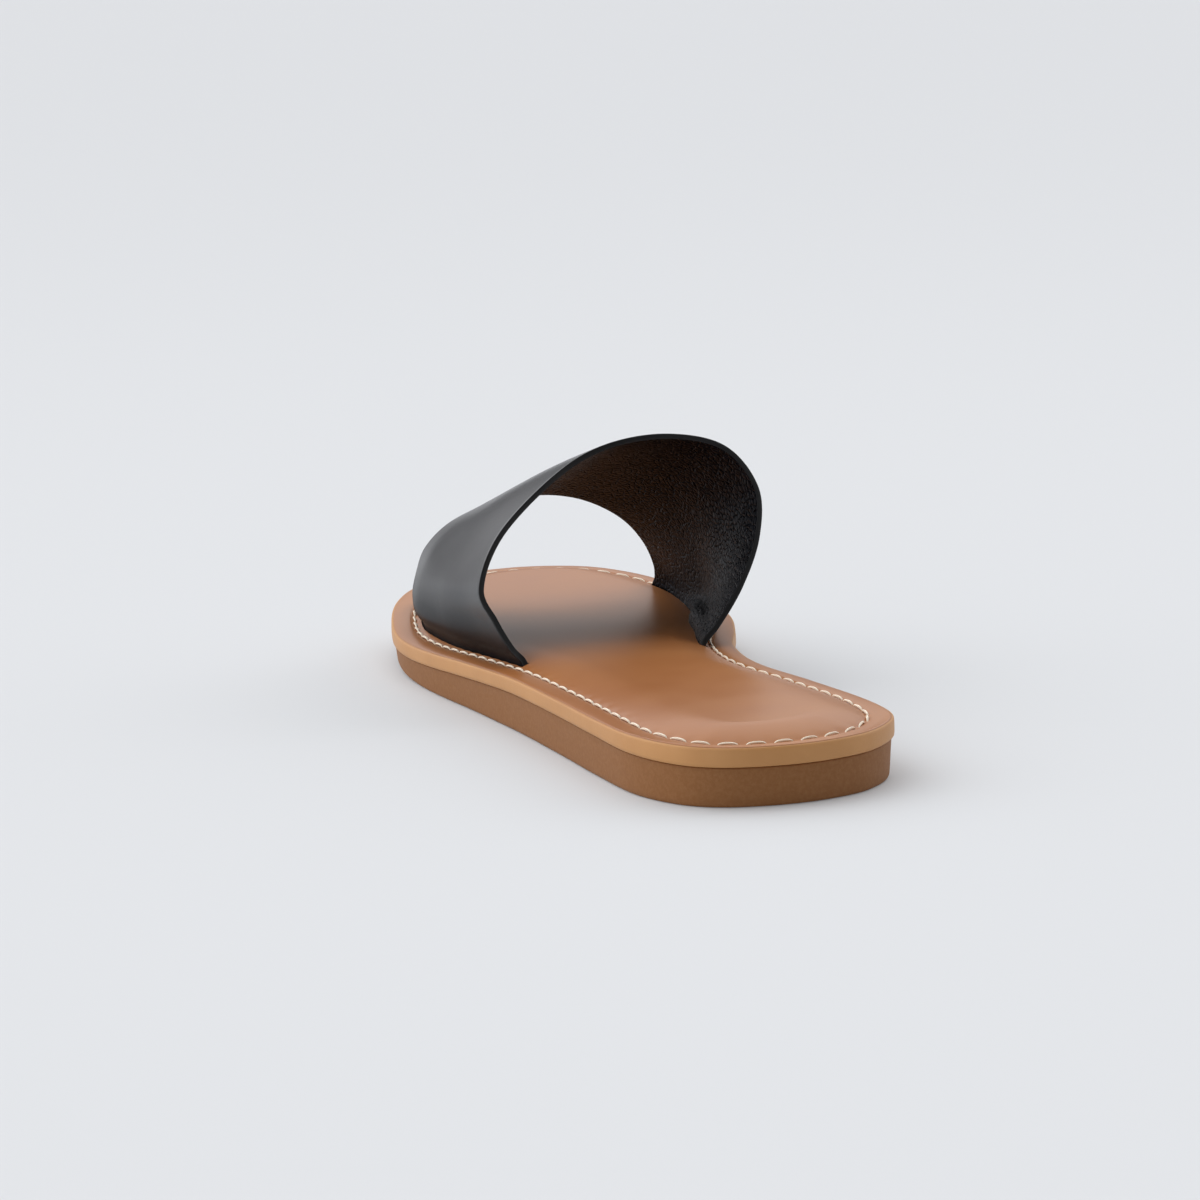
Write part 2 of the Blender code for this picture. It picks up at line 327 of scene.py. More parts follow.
def place(piece: bpy.types.Object, slot: str, *nodes: str) -> None:
    """Let a piece ride on the shoe and stand in for CAD nodes.

    Args:
        piece: The finished piece.
        slot: The record's material slot that it takes its finish from; not used.
        nodes: The CAD nodes that it replaces, if any.
    """
    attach(piece, BODY)
    if nodes:
        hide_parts(*nodes)
    LOG.info("%s: %d faces", piece.name, len(piece.data.polygons))


def add_node(
    tree: bpy.types.NodeTree,
    kind: str,
    settings: dict | None = None,
    links: dict | None = None,
) -> bpy.types.Node:
    """Add a node with its settings and links.

    Args:
        tree: The node tree.
        kind: The node's type, such as ShaderNodeBump.
        settings: Values by name, of the node's own properties or else of its inputs.
        links: Output sockets by the name or number of the input that they feed.

    Returns:
        The new node.
    """
    node = tree.nodes.new(kind)
    for name, value in (settings or {}).items():
        if isinstance(name, str) and hasattr(node, name):
            setattr(node, name, value)
        else:
            node.inputs[name].default_value = value
    for name, socket in (links or {}).items():
        tree.links.new(socket, node.inputs[name])
    return node


def new_material(name: str) -> tuple[bpy.types.Material, bpy.types.NodeTree, bpy.types.Node]:
    """Make a material with an empty Principled shader.

    Args:
        name: The material's name.

    Returns:
        The material, its node tree and its Principled node.
    """
    material = bpy.data.materials.new(name)
    material.use_nodes = True
    tree = material.node_tree
    return material, tree, tree.nodes["Principled BSDF"]


@dataclass(frozen=True)
class SyntheticLeather:
    """Polyurethane-coated cloth, embossed with a grain: it shows a soft gloss over fine pores.

    The colour drifts between two near tones, and the grain is a net of cells
    whose borders lie deep. The gloss may fade towards the sole as painted shade,
    where the low face reflects shadowed surroundings. Lengths are in millimetres.
    """

    name: str
    colour: int
    second_colour: int
    roughness: float
    grain: float
    grain_depth: float
    crinkle: float
    crinkle_depth: float
    drift: float
    specular: float = 0.5
    specular_tint: int = 0xFFFFFF
    coat: float = 0.0
    coat_roughness: float = 0.3
    roughness_spread: float = 0.06
    shaded_foot_gloss: float = 1.0
    foot_height: float = 0.0
    crown_height: float = 60.0
    ior: float = 1.5
    drift_ends: tuple[float, float] = (0.35, 0.68)
    border_share: float = 0.22

    def material(self) -> bpy.types.Material:
        """Build the material.

        Returns:
            The material.
        """
        material, tree, shader = new_material(self.name)
        shader.inputs["IOR"].default_value = self.ior
        shader.inputs["Specular IOR Level"].default_value = self.specular
        shader.inputs["Specular Tint"].default_value = linear_colour(self.specular_tint)
        shader.inputs["Coat Weight"].default_value = self.coat
        shader.inputs["Coat Roughness"].default_value = self.coat_roughness
        place_of = add_node(tree, "ShaderNodeTexCoord").outputs["Object"]
        drift = add_node(
            tree,
            "ShaderNodeTexNoise",
            {"Scale": 1 / (self.drift * MM), "Detail": 3.0, "Roughness": 0.55},
            {"Vector": place_of},
        )
        tones = add_node(tree, "ShaderNodeValToRGB", {}, {"Fac": drift.outputs["Fac"]})
        tones.color_ramp.elements[0].position = self.drift_ends[0]
        tones.color_ramp.elements[1].position = self.drift_ends[1]
        tones.color_ramp.elements[0].color = linear_colour(self.colour)
        tones.color_ramp.elements[1].color = linear_colour(self.second_colour)
        tree.links.new(tones.outputs["Color"], shader.inputs["Base Color"])
        gloss = add_node(
            tree,
            "ShaderNodeMapRange",
            {
                "To Min": self.roughness - self.roughness_spread,
                "To Max": self.roughness + self.roughness_spread,
            },
            {"Value": drift.outputs["Fac"]},
        )
        tree.links.new(gloss.outputs["Result"], shader.inputs["Roughness"])
        # Painted shade: specular and coat fade towards the sole, standing in for dark reflections
        # there.
        if self.shaded_foot_gloss < 1.0:
            self.paint_foot_shade(tree, shader, place_of)
        cells = add_node(
            tree,
            "ShaderNodeTexVoronoi",
            {"feature": "DISTANCE_TO_EDGE", "Scale": 1 / (self.grain * MM), "Randomness": 0.9},
            {"Vector": place_of},
        )
        pebbles = add_node(
            tree,
            "ShaderNodeMapRange",
            {"interpolation_type": "SMOOTHSTEP", "From Max": self.border_share},
            {"Value": cells.outputs["Distance"]},
        )
        grain = add_node(
            tree,
            "ShaderNodeBump",
            {"Strength": 1.0, "Distance": self.grain_depth * MM},
            {"Height": pebbles.outputs["Result"]},
        )
        creases = add_node(
            tree,
            "ShaderNodeTexNoise",
            {"Scale": 1 / (self.crinkle * MM), "Detail": 4.0, "Roughness": 0.6},
            {"Vector": place_of},
        )
        crinkled = add_node(
            tree,
            "ShaderNodeBump",
            {"Strength": 1.0, "Distance": self.crinkle_depth * MM},
            {"Height": creases.outputs["Fac"], "Normal": grain.outputs["Normal"]},
        )
        tree.links.new(crinkled.outputs["Normal"], shader.inputs["Normal"])
        return material

    def paint_foot_shade(
        self, tree: bpy.types.NodeTree, shader: bpy.types.Node, place_of: bpy.types.NodeSocket
    ) -> None:
        """Paint shade towards the sole by dulling the gloss.

        Args:
            tree: The material's node tree.
            shader: Its Principled node.
            place_of: The socket that gives a point's place.
        """
        place = add_node(tree, "ShaderNodeSeparateXYZ", {}, {"Vector": place_of})
        for socket, value in (("Specular IOR Level", self.specular), ("Coat Weight", self.coat)):
            fade = add_node(
                tree,
                "ShaderNodeMapRange",
                {
                    "interpolation_type": "SMOOTHSTEP",
                    "From Min": self.foot_height * MM,
                    "From Max": self.crown_height * MM,
                    "To Min": value * self.shaded_foot_gloss,
                    "To Max": value,
                },
                {"Value": place.outputs["Z"]},
            )
            tree.links.new(fade.outputs["Result"], shader.inputs[socket])


@dataclass(frozen=True)
class MouldedRubber:
    """Foamed rubber from a grit-blasted mould: matt, finely pitted, with paler specks."""

    name: str
    colour: int
    speck_colour: int
    roughness: float
    speck: float
    pit: float
    pit_depth: float
    specular: float = 0.22
    ior: float = 1.52
    speck_ends: tuple[float, float] = (0.42, 0.75)

    def material(self) -> bpy.types.Material:
        """Build the material.

        Returns:
            The material.
        """
        material, tree, shader = new_material(self.name)
        shader.inputs["IOR"].default_value = self.ior
        shader.inputs["Roughness"].default_value = self.roughness
        shader.inputs["Specular IOR Level"].default_value = self.specular
        place_of = add_node(tree, "ShaderNodeTexCoord").outputs["Object"]
        specks = add_node(
            tree,
            "ShaderNodeTexNoise",
            {"Scale": 1 / (self.speck * MM), "Detail": 5.0, "Roughness": 0.7},
            {"Vector": place_of},
        )
        tones = add_node(tree, "ShaderNodeValToRGB", {}, {"Fac": specks.outputs["Fac"]})
        tones.color_ramp.elements[0].position = self.speck_ends[0]
        tones.color_ramp.elements[1].position = self.speck_ends[1]
        tones.color_ramp.elements[0].color = linear_colour(self.colour)
        tones.color_ramp.elements[1].color = linear_colour(self.speck_colour)
        tree.links.new(tones.outputs["Color"], shader.inputs["Base Color"])
        pits = add_node(
            tree,
            "ShaderNodeTexNoise",
            {"Scale": 1 / (self.pit * MM), "Detail": 3.0, "Roughness": 0.6},
            {"Vector": place_of},
        )
        bump = add_node(
            tree,
            "ShaderNodeBump",
            {"Strength": 1.0, "Distance": self.pit_depth * MM},
            {"Height": pits.outputs["Fac"]},
        )
        tree.links.new(bump.outputs["Normal"], shader.inputs["Normal"])
        return material


@dataclass(frozen=True)
class TwistedThread:
    """Bonded polyester thread, laid from three strands: a soft sheen with slanted furrows."""

    name: str
    colour: int
    furrow_shade_colour: int
    roughness: float
    lay: float
    furrow_depth: float
    lay_angle: float = 38.0
    unevenness: float = 0.4
    strand_share: float = 0.55
    sheen: float = 0.25

    def material(self) -> bpy.types.Material:
        """Build the material.

        Returns:
            The material.
        """
        material, tree, shader = new_material(self.name)
        shader.inputs["Roughness"].default_value = self.roughness
        shader.inputs["Sheen Weight"].default_value = self.sheen
        where = add_node(tree, "ShaderNodeUVMap", {"uv_map": "UVMap"}).outputs["UV"]
        turned = add_node(
            tree,
            "ShaderNodeMapping",
            {"Rotation": (0.0, 0.0, math.radians(self.lay_angle))},
            {"Vector": where},
        )
        strands = add_node(
            tree,
            "ShaderNodeTexWave",
            {"Scale": self.lay, "Distortion": self.unevenness},
            {"Vector": turned.outputs["Vector"]},
        )
        # Painted shade: the furrows between strands are coloured darker than the strands.
        tones = add_node(tree, "ShaderNodeValToRGB", {}, {"Fac": strands.outputs["Fac"]})
        tones.color_ramp.elements[0].color = linear_colour(self.furrow_shade_colour)
        tones.color_ramp.elements[1].position = self.strand_share
        tones.color_ramp.elements[1].color = linear_colour(self.colour)
        tree.links.new(tones.outputs["Color"], shader.inputs["Base Color"])
        bump = add_node(
            tree,
            "ShaderNodeBump",
            {"Strength": 1.0, "Distance": self.furrow_depth * MM},
            {"Height": strands.outputs["Fac"]},
        )
        tree.links.new(bump.outputs["Normal"], shader.inputs["Normal"])
        return material


@dataclass(frozen=True)
class GlowingPaper:
    """Seamless studio paper: pale and matt, with a painted glow that lifts the shadows on it."""

    name: str
    colour: int
    roughness: float
    glow: float
    specular: float = 0.2

    def material(self) -> bpy.types.Material:
        """Build the material.

        Returns:
            The material.
        """
        material, _, shader = new_material(self.name)
        shader.inputs["Base Color"].default_value = linear_colour(self.colour)
        shader.inputs["Roughness"].default_value = self.roughness
        shader.inputs["Specular IOR Level"].default_value = self.specular
        # Painted light: the paper glows in its own colour, so that shadows on it stay weak.
        shader.inputs["Emission Color"].default_value = linear_colour(self.colour)
        shader.inputs["Emission Strength"].default_value = self.glow
        return material


# The face's real pores, about 0.2 mm wide, are too fine to show: they are drawn at 0.45 mm.
STRAP_FACE = SyntheticLeather(
    name="black_polyurethane_leather_smooth",
    colour=0x0A0B0F,
    second_colour=0x0F1014,
    roughness=0.34,
    grain=0.45,
    grain_depth=0.006,
    crinkle=3.2,
    crinkle_depth=0.03,
    drift=18.0,
    specular=0.40,
    specular_tint=0xE6EDFF,
    coat=0.65,
    coat_roughness=0.18,
    roughness_spread=0.03,
    # Painted shade: the face keeps only a small share of its gloss low down, near the sole.
    shaded_foot_gloss=0.06,
    foot_height=15.0,
    crown_height=50.0,
)
# The lining's real pebbles are 1 to 1.5 mm wide, and catch light at their edges.
STRAP_LINING = SyntheticLeather(
    name="black_polyurethane_leather_pebbled",
    colour=0x030406,
    second_colour=0x090A0E,
    roughness=0.43,
    grain=1.5,
    grain_depth=0.34,
    crinkle=4.0,
    crinkle_depth=0.15,
    drift=8.0,
    specular=0.09,
    specular_tint=0xB4C8FF,
)
STRAP_RIM = SyntheticLeather(
    name="black_edge_paint",
    colour=0x0B0B0C,
    second_colour=0x101012,
    roughness=0.42,
    grain=0.6,
    grain_depth=0.004,
    crinkle=3.0,
    crinkle_depth=0.03,
    drift=10.0,
)
# The footbed's grain is pressed flat, so only a slight unevenness of its gloss shows.
FOOTBED = SyntheticLeather(
    name="tan_polyurethane_leather_smooth",
    colour=0xA4683A,
    second_colour=0xAE7446,
    roughness=0.32,
    grain=0.9,
    grain_depth=0.0,
    crinkle=1.6,
    crinkle_depth=0.012,
    drift=38.0,
    specular=0.33,
)
WRAPPED_EDGE = SyntheticLeather(
    name="light_tan_polyurethane_edge_band",
    colour=0xBE8A56,
    second_colour=0xC89460,
    roughness=0.46,
    grain=0.5,
    grain_depth=0.010,
    crinkle=2.2,
    crinkle_depth=0.06,
    drift=22.0,
    specular=0.26,
)
# The mould's real grit, about 0.3 mm, is too fine to show: pits and specks are drawn coarser.
SOLE_RUBBER = MouldedRubber(
    name="brown_foamed_rubber_moulded",
    colour=0x8C5E36,
    speck_colour=0x996A42,
    roughness=0.62,
    speck=0.9,
    pit=0.7,
    pit_depth=0.05,
)
THREAD = TwistedThread(
    name="cream_polyester_thread_twisted",
    colour=0xFFF4E0,
    furrow_shade_colour=0xE6D2B4,
    roughness=0.6,
    lay=1.6,
    furrow_depth=0.03,
)
# Painted light: the paper's glow fills the shadows cast on it.
PAPER = GlowingPaper(name="pale_studio_paper_glowing", colour=0xC9CBCD, roughness=0.8, glow=0.18)


def edge_share(inset: float) -> float:
    """Return how far a ring at an inset in millimetres counts as edge, from 1 down to 0."""
    return min(max((BED_STARTS - inset) / (BED_STARTS - EDGE_ENDS), 0.0), 1.0)


@dataclass
class SolePlan:
    """The outline and the heights that every layer of the sole follows. Lengths are in metres."""

    length: float = 261 * MM
    ball_width: float = 91 * MM
    heel_thickness: float = 10 * MM
    toe_spring: float = 6.8 * MM
    midsole_step: float = 3.7 * MM
    heel_tip_across: float = -0.020
    toe_tip_across: float = 0.050
    wrap_rise: float = 0.75 * MM
    wrap_from: float = 0.03
    wrap_run: float = 0.17
    curve_steps: int = 60
    normal_reach: int = 14
    points: np.ndarray = field(init=False, repr=False)
    inward: np.ndarray = field(init=False, repr=False)
    toe_at: int = field(init=False)

    def __post_init__(self) -> None:
        """Work out the fine outline and its inward normals."""
        heel = (self.heel_tip_across * self.ball_width, -0.5 * self.length)
        toe = (self.toe_tip_across * self.ball_width, 0.5 * self.length)
        outer = [(-row.outer * self.ball_width, self.y_at(row.along)) for row in OUTLINE]
        inner = [(row.inner * self.ball_width, self.y_at(row.along)) for row in OUTLINE]
        ring = np.array([heel, *outer, toe, *reversed(inner)])
        self.points = smooth_curve(ring, closed=True, steps=self.curve_steps)
        self.toe_at = (len(outer) + 1) * self.curve_steps
        ahead = np.roll(self.points, -self.normal_reach, axis=0)
        behind = np.roll(self.points, self.normal_reach, axis=0)
        tangent = ahead - behind
        tangent /= np.linalg.norm(tangent, axis=1)[:, None]
        self.inward = np.stack([tangent[:, 1], -tangent[:, 0]], axis=1)

    def y_at(self, along: float) -> float:
        """Turn a share of the length into a position along Y."""
        return (along - 0.5) * self.length

    def share(self, y: np.ndarray) -> np.ndarray:
        """Turn positions along Y into shares of the length."""
        return y / self.length + 0.5

    def half_width(self, y: np.ndarray, side: Side) -> np.ndarray:
        """Half width of the sole on one side, at positions along Y."""
        return self.ball_width * eased(OUTLINE, side.value, self.share(y))

    def underside(self, y: np.ndarray) -> np.ndarray:
        """Height of the outsole's underside."""
        return self.toe_spring * eased(PROFILE, "rise", self.share(y))

    def outsole_thickness(self, y: np.ndarray) -> np.ndarray:
        """Thickness of the outsole."""
        return self.heel_thickness * eased(PROFILE, "thickness", self.share(y))

    def midsole_base(self, y: np.ndarray) -> np.ndarray:
        """Height of the outsole's top."""
        return self.underside(y) + self.outsole_thickness(y)

    def bed(self, y: np.ndarray) -> np.ndarray:
        """Height of the plane that the insole lies on."""
        return self.midsole_base(y) + self.midsole_step

    def heel_wrap(self, y: np.ndarray) -> np.ndarray:
        """Return how much higher the wrapped edge stands round the heel."""
        away = np.clip((self.share(y) - self.wrap_from) / self.wrap_run, 0.0, 1.0)
        return self.wrap_rise * (1.0 - away**2 * (3.0 - 2.0 * away))

    def around(self, per_side: int, inset: float) -> tuple[np.ndarray, np.ndarray]:
        """Sample the outline so that the ring at an inset is evenly spaced on each side.

        Args:
            per_side: Steps from heel tip to toe tip.
            inset: How far in the evenly spaced ring lies.

        Returns:
            Outline points and inward normals, from the heel tip up the outer side and back.
        """
        ring = self.points + self.inward * inset
        both = np.hstack([self.points, self.inward])
        closed = np.vstack([both, both[:1]])
        closed_ring = np.vstack([ring, ring[:1]])
        rows = []
        for part in (slice(0, self.toe_at + 1), slice(self.toe_at, None)):
            distance = walked(closed_ring[part])
            wanted = np.linspace(0.0, distance[-1], per_side + 1)[:-1]
            columns = [np.interp(wanted, distance, column) for column in closed[part].T]
            rows.append(np.stack(columns, axis=-1))
        rows = np.vstack(rows)
        return rows[:, :2], rows[:, 2:]


@dataclass
class SoleLayer:
    """One closed layer of the sole, laid as rings from its lower middle to its upper one."""

    plan: SolePlan
    name: str
    slot: str
    node: str
    rings: tuple[RingRow, ...]
    base: Callable[[np.ndarray], np.ndarray]
    finish: SyntheticLeather | MouldedRubber
    top: Callable[[np.ndarray], np.ndarray] | None = None
    raised_from: float = math.inf
    per_side: int = 180
    cap_shares: tuple[float, ...] = (0.35, 0.7, 1.0)
    even_inset: float = 0.0
    crease_angle: float = 50.0

    def levels(self) -> np.ndarray:
        """Lay the layer's rings and its two caps.

        Returns:
            An array of levels, points and coordinates.
        """
        outline, inward = self.plan.around(self.per_side, self.even_inset)
        rings = []
        for row in self.rings:
            flat = outline + inward * row.inset * MM
            base = self.base(flat[:, 1])
            reach = 1.0 if self.top is None else (self.top(flat[:, 1]) - base) / MM
            rise = row.height * MM * reach
            if row.height >= self.raised_from:
                rise = rise + self.plan.heel_wrap(flat[:, 1]) * edge_share(row.inset)
            rings.append(np.column_stack([flat, base + rise]))
        lower = self.cap(rings[0])
        upper = self.cap(rings[-1])
        return np.array([*reversed(lower), *rings, *upper])

    def cap(self, ring: np.ndarray) -> list[np.ndarray]:
        """Close a ring onto the layer's long middle line.

        Args:
            ring: The ring's points, one a row.

        Returns:
            The rings that close it, from the outer one inwards.
        """
        partner = np.roll(ring[::-1], 1, axis=0)
        middle = 0.5 * (ring + partner)
        rise = ring[:, 2] - self.base(ring[:, 1])
        rings = []
        for share in self.cap_shares:
            inner = ring + (middle - ring) * share
            mean_rise = rise + (np.roll(rise[::-1], 1) - rise) * 0.5 * share
            inner[:, 2] = self.base(inner[:, 1]) + mean_rise
            rings.append(inner)
        return rings

    def build(self) -> bpy.types.Object:
        """Model the layer."""
        return add_sheet(self.name, self.levels(), wraps=True)

    def dress(self, piece: bpy.types.Object) -> None:
        """Give the layer its finish and its place.

        Args:
            piece: The modelled layer.
        """
        piece.data.materials.append(self.finish.material())
        shade(piece, self.crease_angle)
        place(piece, self.slot, self.node)


OUTSOLE_RINGS = (
    RingRow(2.50, 0.00),
    RingRow(1.95, 0.01),
    RingRow(1.60, 0.03),
    RingRow(1.38, 0.07),
    RingRow(1.26, 0.12),
    RingRow(1.20, 0.18),
    RingRow(0.96, 0.58),
    RingRow(0.72, 0.94),
    RingRow(0.80, 0.98),
    RingRow(1.10, 1.00),
)
MIDSOLE_RINGS = (
    RingRow(0.75, 0.06),
    RingRow(0.30, 0.10),
    RingRow(0.08, 0.30),
    RingRow(0.00, 0.95),
    RingRow(0.00, 1.90),
    RingRow(0.02, 2.80),
    RingRow(0.08, 3.30),
    RingRow(0.19, 3.56),
    RingRow(0.36, 3.67),
    RingRow(0.90, 3.68),
    RingRow(2.50, 3.50),
)


@dataclass
class Insole(SoleLayer):
    """The padded insole: flat margin, sewn channel, pad drawn in at each stitch, two slots."""

    stitch_inset: float = 6.1
    steps_per_stitch: int = 8
    stitches_per_side: int = 45
    pucker_beyond: float = 1.2
    pucker_inset: float = 0.16
    pucker_height: float = 0.07
    pucker_width: float = 0.70

    def bulge(self, count: int) -> np.ndarray:
        """Return how far the pad stands out between two holes, from 0 at a hole to 1."""
        phase = np.arange(count) % self.steps_per_stitch / self.steps_per_stitch
        return np.sin(math.pi * phase)

    def levels(self) -> np.ndarray:
        """Lay the rings, with the pad drawn in towards each stitch hole.

        Returns:
            An array of levels, points and coordinates.
        """
        rows = super().levels()
        outline, inward = self.plan.around(self.per_side, self.even_inset)
        bulge = self.bulge(len(outline)) - 0.5
        first = len(self.cap_shares)
        for level, row in enumerate(self.rings, start=first):
            beyond = row.inset - self.stitch_inset - self.pucker_beyond
            pull = math.exp(-((beyond / self.pucker_width) ** 2))
            if row.inset < self.stitch_inset:
                pull = 0.0
            rows[level, :, :2] -= inward * (bulge * pull * self.pucker_inset * MM)[:, None]
            rows[level, :, 2] += bulge * pull * self.pucker_height * MM
        return rows


INSOLE_RINGS = (
    RingRow(2.50, 0.00),
    RingRow(1.20, 0.00),
    RingRow(0.72, 0.01),
    RingRow(0.60, 0.04),
    RingRow(0.66, 0.10),
    RingRow(0.92, 0.20),
    RingRow(1.40, 0.32),
    RingRow(2.20, 0.45),
    RingRow(3.40, 0.53),
    RingRow(4.70, 0.52),
    RingRow(5.30, 0.42),
    RingRow(5.72, 0.20),
    RingRow(6.10, 0.06),
    RingRow(6.48, 0.18),
    RingRow(6.95, 0.48),
    RingRow(7.60, 0.84),
    RingRow(8.60, 1.26),
    RingRow(9.90, 1.70),
    RingRow(11.7, 2.22),
    RingRow(13.9, 2.74),
    RingRow(16.4, 3.16),
)


@dataclass
class Stitching:
    """The row of cream stitches in the insole's channel. Lengths are in millimetres."""

    insole: Insole
    length: float = 5.5
    radius: float = 0.30
    arch: float = 0.30
    sunk: float = 0.62
    channel_height: float = 0.34
    slant: float = 5.0
    end_girth: float = 0.12
    rings: int = 9
    facets: int = 10
    crease_angle: float = 60.0

    def model_one(self) -> bpy.types.Object:
        """Model one stitch along X: a rod cut across, arched up and drawn in at its ends.

        Returns:
            The stitch, which the others are copied from.
        """
        bpy.ops.object.select_all(action="DESELECT")
        bpy.ops.mesh.primitive_cylinder_add(
            vertices=self.facets, radius=self.radius * MM, depth=self.length * MM
        )
        stitch = bpy.context.object
        stitch.rotation_euler = (0.0, math.pi / 2, 0.0)
        bpy.ops.object.transform_apply(location=True, rotation=True, scale=True)
        bpy.ops.object.mode_set(mode="EDIT")
        for cut in range(1, self.rings):
            at = (cut / self.rings - 0.5) * self.length * MM
            bpy.ops.mesh.select_all(action="SELECT")
            bpy.ops.mesh.bisect(plane_co=(at, 0.0, 0.0), plane_no=(1.0, 0.0, 0.0))
        bpy.ops.object.mode_set(mode="OBJECT")
        for vertex in stitch.data.vertices:
            reach = 2 * vertex.co.x / (self.length * MM)
            taper = math.sqrt(max(self.end_girth, 1 - abs(reach) ** 4))
            vertex.co.y *= taper
            vertex.co.z *= taper
            vertex.co.z += (self.arch * (1 - reach**2) - self.sunk * reach**6) * MM
        return stitch

    def build(self) -> bpy.types.Object:
        """Copy the stitch into every gap between two holes and join the copies.

        Returns:
            All the stitches as one object.
        """
        pattern = self.model_one()
        insole = self.insole
        outline, inward = insole.plan.around(insole.per_side, insole.even_inset)
        ring = outline + inward * insole.stitch_inset * MM
        step = insole.steps_per_stitch
        copies = []
        for start in range(0, len(ring), step):
            middle = ring[start + step // 2]
            behind = ring[start]
            ahead = ring[(start + step) % len(ring)]
            height = float(insole.plan.bed(middle[1])) + self.channel_height * MM
            run = Vector((*(ahead - behind), 0.0))
            run.z = float(insole.plan.bed(ahead[1]) - insole.plan.bed(behind[1]))
            turn = run.to_track_quat("X", "Z").to_matrix().to_4x4()
            turn = turn @ Matrix.Rotation(math.radians(self.slant), 4, "Z")
            copy = pattern.copy()
            copy.data = pattern.data.copy()
            copy.data.transform(Matrix.Translation((*middle, height)) @ turn)
            bpy.context.collection.objects.link(copy)
            copies.append(copy)
        bpy.data.objects.remove(pattern, do_unlink=True)
        select_only(*copies)
        bpy.ops.object.join()
        stitches = bpy.context.object
        stitches.name = "stitching"
        stitches.data.name = "stitching"
        return stitches

    def dress(self, piece: bpy.types.Object) -> None:
        """Give the stitches their thread and their place.

        Args:
            piece: The joined stitches.
        """
        piece.data.materials.append(THREAD.material())
        shade(piece, self.crease_angle)
        place(piece, self.insole.slot)


@dataclass
class Strap:
    """The wide strap: one bent wall with a smooth face, a pebbled lining and painted edges."""

    plan: SolePlan
    crown: float = 65 * MM
    wall: float = 1.4 * MM
    edge_round: float = 0.55 * MM
    edge_segments: int = 4
    edge_angle: float = 60.0
    crease_angle: float = 45.0
    bulge: float = 1.2 * MM
    slot_clearance: float = 0.3 * MM
    slot_reach: float = 9 * MM
    slot_depth: float = 4 * MM
    slot_around: int = 8
    slot_along: int = 24
    rear_outer_foot: float = 0.450
    rear_inner_foot: float = 0.497
    rear_crown: float = 0.562
    front_outer_foot: float = 0.875
    front_inner_foot: float = 0.871
    front_crown: float = 0.781
    around: int = 190
    along: int = 60
    foot_density: float = 0.60
    dents: tuple[Dent, ...] = (
        Dent(0.20, 0.42, 0.050, 0.30, 0.35),
        Dent(0.30, 0.70, 0.040, 0.22, 0.25),
        Dent(0.74, 0.35, 0.060, 0.30, 0.40),
        Dent(0.84, 0.60, 0.045, 0.25, 0.30),
        Dent(0.984, 0.45, 0.028, 0.21, 3.4),
    )

    def edge(self, front: bool) -> np.ndarray:
        """Trace the rear or front edge of the outer face.

        Args:
            front: Whether it is the front edge.

        Returns:
            The edge as a fine polyline, from the outer foot to the inner one.
        """
        if front:
            feet = (self.front_outer_foot, self.front_inner_foot)
            top = self.front_crown
            ribs = [(row.front_across, row.front_height) for row in STRAP]
        else:
            feet = (self.rear_outer_foot, self.rear_inner_foot)
            top = self.rear_crown
            ribs = [(row.rear_across, row.rear_height) for row in STRAP]
        peak = max(height for _, height in ribs)
        points = []
        for across, height in ribs:
            foot = feet[0] if across < 0 else feet[1]
            along = foot + (top - foot) * height / peak
            start = float(self.plan.bed(np.array(self.plan.y_at(foot))))
            lift = start + height * (self.crown - start)
            points.append((across * self.plan.ball_width, self.plan.y_at(along), lift))
        return smooth_curve(np.array(points), closed=False, steps=24)

    def follow_sole(
        self, rear: np.ndarray, front: np.ndarray, station: float, crown: float
    ) -> np.ndarray:
        """Return a rib between the edges, low down bowed out and down as the sole is.

        Args:
            rear: Points of the rear edge.
            front: Points of the front edge.
            station: Where the rib lies, from 0 at the rear edge to 1 at the front one.
            crown: Height of the strap's crown there.

        Returns:
            The rib's points.
        """
        row = rear + (front - rear) * station
        y = row[:, 1]
        height = (row[:, 2] - self.plan.bed(y)) / (crown - self.plan.bed(y))
        low = np.cos(0.5 * math.pi * np.clip(height, 0.0, 1.0)) ** 2

        def bow(shape: Callable[[np.ndarray], np.ndarray]) -> np.ndarray:
            """Return how far a shape lies off the straight line between the edges."""
            return shape(y) - (1 - station) * shape(rear[:, 1]) - station * shape(front[:, 1])

        outer_bow = bow(lambda at: self.plan.half_width(at, Side.OUTER))
        inner_bow = bow(lambda at: self.plan.half_width(at, Side.INNER))
        row[:, 0] += low * np.where(row[:, 0] < 0, -outer_bow, inner_bow)
        row[:, 2] += low * bow(self.plan.bed)
        return row

    def face(self, shares: np.ndarray, stations: np.ndarray, dented: bool) -> np.ndarray:
        """Return the outer face as rows of points.

        Args:
            shares: Shares of the way from the outer foot to the inner one.
            stations: Shares of the way from the rear edge to the front one.
            dented: Whether the face has its soft dents.

        Returns:
            An array of rows, points and coordinates.
        """
        rear = self.edge(front=False)
        front = self.edge(front=True)
        rear_points = resample(rear, shares)
        front_points = resample(front, shares)
        rows = []
        for station in stations:
            crown = (1 - station) * rear[:, 2].max() + station * front[:, 2].max()
            row = self.follow_sole(rear_points, front_points, station, crown)
            swell = self.bulge * max(0.0, math.sin(math.pi * min(max(station, 0.0), 1.0)))
            tangent = np.gradient(row, axis=0)
            outward = np.stack([-tangent[:, 2], np.zeros(len(row)), tangent[:, 0]], axis=1)
            outward /= np.maximum(np.linalg.norm(outward, axis=1), 1e-9)[:, None]
            push = swell * np.sin(math.pi * shares)
            if dented:
                for dent in self.dents:
                    across = ((shares - dent.around) / dent.half_around) ** 2
                    forward = ((station - dent.along) / dent.half_along) ** 2
                    push = push - dent.depth * MM * np.exp(-across - forward)
            rows.append(row + outward * push[:, None])
        return np.array(rows)

